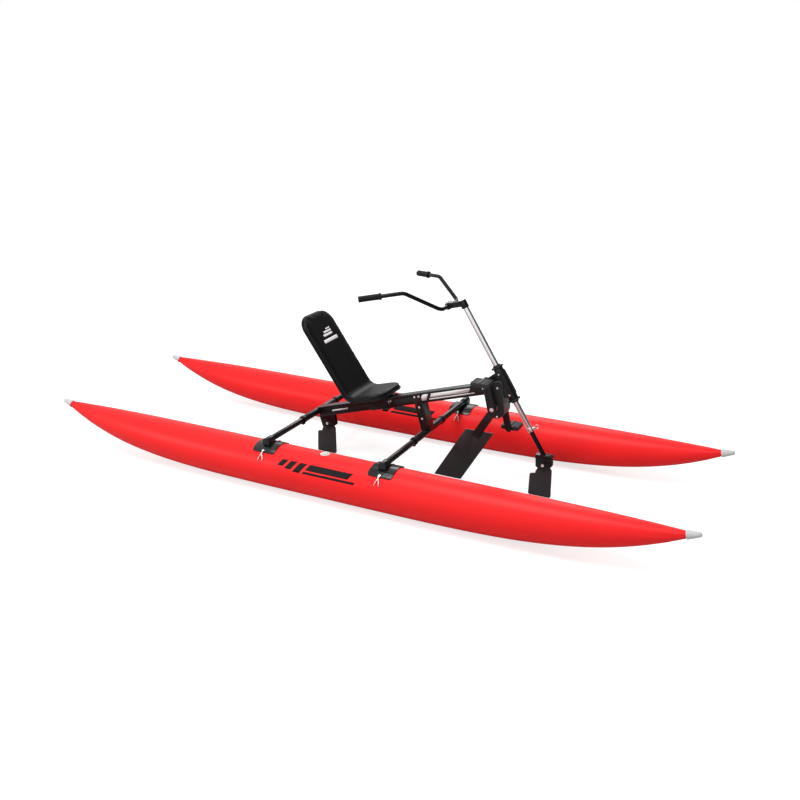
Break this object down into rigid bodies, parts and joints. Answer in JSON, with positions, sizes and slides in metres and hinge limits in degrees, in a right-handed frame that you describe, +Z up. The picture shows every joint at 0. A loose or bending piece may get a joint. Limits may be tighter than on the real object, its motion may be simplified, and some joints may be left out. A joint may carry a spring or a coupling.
{
  "type": "pedal boat",
  "caption": "Catamaran pedal boat: inflatable pontoons, sloping beam with sliding seat, pedal-driven swinging fin, handlebar column with kick-up rudder.",
  "frame": {"origin": "centre of the footprint, on the ground below the pontoons", "axes": "+X to the bow, +Y to port, +Z up; the boat's middle plane is y = 0"},
  "size_m": [4, 1.32, 1.1545],
  "materials": {
    "hull_fabric": "satin coated fabric",
    "nose_plastic": "moulded, satin",
    "valve_plastic": "moulded, satin",
    "saddle_plastic": "moulded, satin",
    "bright_steel": "polished stainless",
    "frame_paint": "satin powder coat",
    "case_paint": "fine-textured powder coat",
    "crank_alloy": "black anodised",
    "bush_plastic": "machined, matt",
    "plain_alloy": "machined",
    "fin_plastic": "sheet, matt",
    "blade_plastic": "sheet, satin",
    "pedal_plastic": "moulded, matt",
    "shell_plastic": "moulded, satin",
    "seat_vinyl": "foam covered in grained vinyl",
    "chrome_tube": "polished",
    "grip_rubber": "ribbed, matt"
  },
  "bodies": {
    "frame": {"port_pontoon": "hull_fabric", "starboard_pontoon": "hull_fabric", "nose_caps": "nose_plastic", "pontoon_valves": "valve_plastic", "rear_saddles": "saddle_plastic", "front_saddles": "saddle_plastic", "saddle_hooks": "bright_steel", "rear_cross_tube": "frame_paint", "front_cross_tube": "frame_paint", "rear_arms": "frame_paint", "front_arms": "frame_paint", "arm_collars": "frame_paint", "main_beam": "frame_paint", "beam_end_cap": "bush_plastic", "front_strut": "frame_paint", "frame_bolts": "bright_steel", "head_bracket": "frame_paint", "head_tube": "frame_paint", "head_bushes": "bush_plastic", "port_side_plate": "case_paint", "starboard_side_plate": "case_paint", "drive_cover": "case_paint", "case_spacers": "plain_alloy", "crank_bearings": "bright_steel", "fin_pivot_blocks": "plain_alloy", "rear_fin_bracket": "frame_paint", "rear_fin_pin": "bright_steel"},
    "rear_fin_body": {"rear_fin": "blade_plastic"},
    "crank": {"crankshaft": "bright_steel", "wobble_bearing": "bright_steel", "port_crank_arm": "crank_alloy", "starboard_crank_arm": "crank_alloy", "crank_bolts": "bright_steel"},
    "port_pedal_body": {"port_pedal": "pedal_plastic"},
    "starboard_pedal_body": {"starboard_pedal": "pedal_plastic"},
    "fin_body": {"fin_yoke": "plain_alloy", "fin_arm": "frame_paint", "drive_fin": "fin_plastic", "fin_bolt": "frame_paint"},
    "seat": {"seat_shell": "shell_plastic", "seat_cushion": "seat_vinyl", "seat_brackets": "frame_paint", "seat_carriage": "frame_paint"},
    "seat_pin_body": {"seat_pin": "bright_steel"},
    "steering": {"steering_shaft": "chrome_tube", "shaft_collars": "bush_plastic", "stem": "frame_paint", "stem_bolts": "bright_steel", "handlebar": "frame_paint", "grips": "grip_rubber", "column_pin_boss": "bright_steel"},
    "column_pin_body": {"column_pin": "bright_steel"},
    "rudder_column": {"lower_tube": "frame_paint", "rudder_bracket": "frame_paint", "rudder_pin": "bright_steel"},
    "rudder": {"rudder_blade": "blade_plastic"}
  },
  "joints": [
    {"name": "steering_turn", "type": "hinge", "parent": "frame", "child": "steering", "pos_m": [0.82103, 0, 0.64415], "axis": [-0.5299, 0, 0.848], "range_deg": [-40, 40]},
    {"name": "column_slide", "type": "slide", "parent": "steering", "child": "rudder_column", "axis": [0.5299, 0, -0.848], "range_m": [-0.08, 0.1]},
    {"name": "column_pin_pull", "type": "slide", "parent": "steering", "child": "column_pin_body", "axis": [0.848, 0, 0.5299], "range_m": [0, 0.006], "stiffness_N_per_m": 900, "springref_m": -0.004},
    {"name": "rudder_kick", "type": "hinge", "parent": "rudder_column", "child": "rudder", "pos_m": [1.06023, 0, 0.20285], "axis": [0, 1, 0], "range_deg": [0, 75]},
    {"name": "rear_fin_kick", "type": "hinge", "parent": "frame", "child": "rear_fin_body", "pos_m": [-0.33, 0, 0.206], "axis": [0, 1, 0], "range_deg": [0, 75]},
    {"name": "crank_turn", "type": "hinge", "parent": "frame", "child": "crank", "pos_m": [0.77727, 0, 0.51021], "axis": [0, 1, 0], "continuous": true},
    {"name": "port_pedal_turn", "type": "hinge", "parent": "crank", "child": "port_pedal_body", "pos_m": [0.81983, 0.138, 0.34562], "axis": [0, 1, 0], "continuous": true},
    {"name": "starboard_pedal_turn", "type": "hinge", "parent": "crank", "child": "starboard_pedal_body", "pos_m": [0.7347, -0.138, 0.67479], "axis": [0, 1, 0], "continuous": true},
    {"name": "fin_swing", "type": "hinge", "parent": "frame", "child": "fin_body", "pos_m": [0.77727, 0, 0.51021], "axis": [0.8572, 0, -0.515], "range_deg": [-25, 25]},
    {"name": "seat_slide", "type": "slide", "parent": "frame", "child": "seat", "axis": [0.9588, 0, 0.284], "range_m": [-0.15, 0.1]},
    {"name": "seat_pin_pull", "type": "slide", "parent": "seat", "child": "seat_pin_body", "axis": [0, -1, 0], "range_m": [0, 0.006], "stiffness_N_per_m": 900, "springref_m": -0.004}
  ]
}
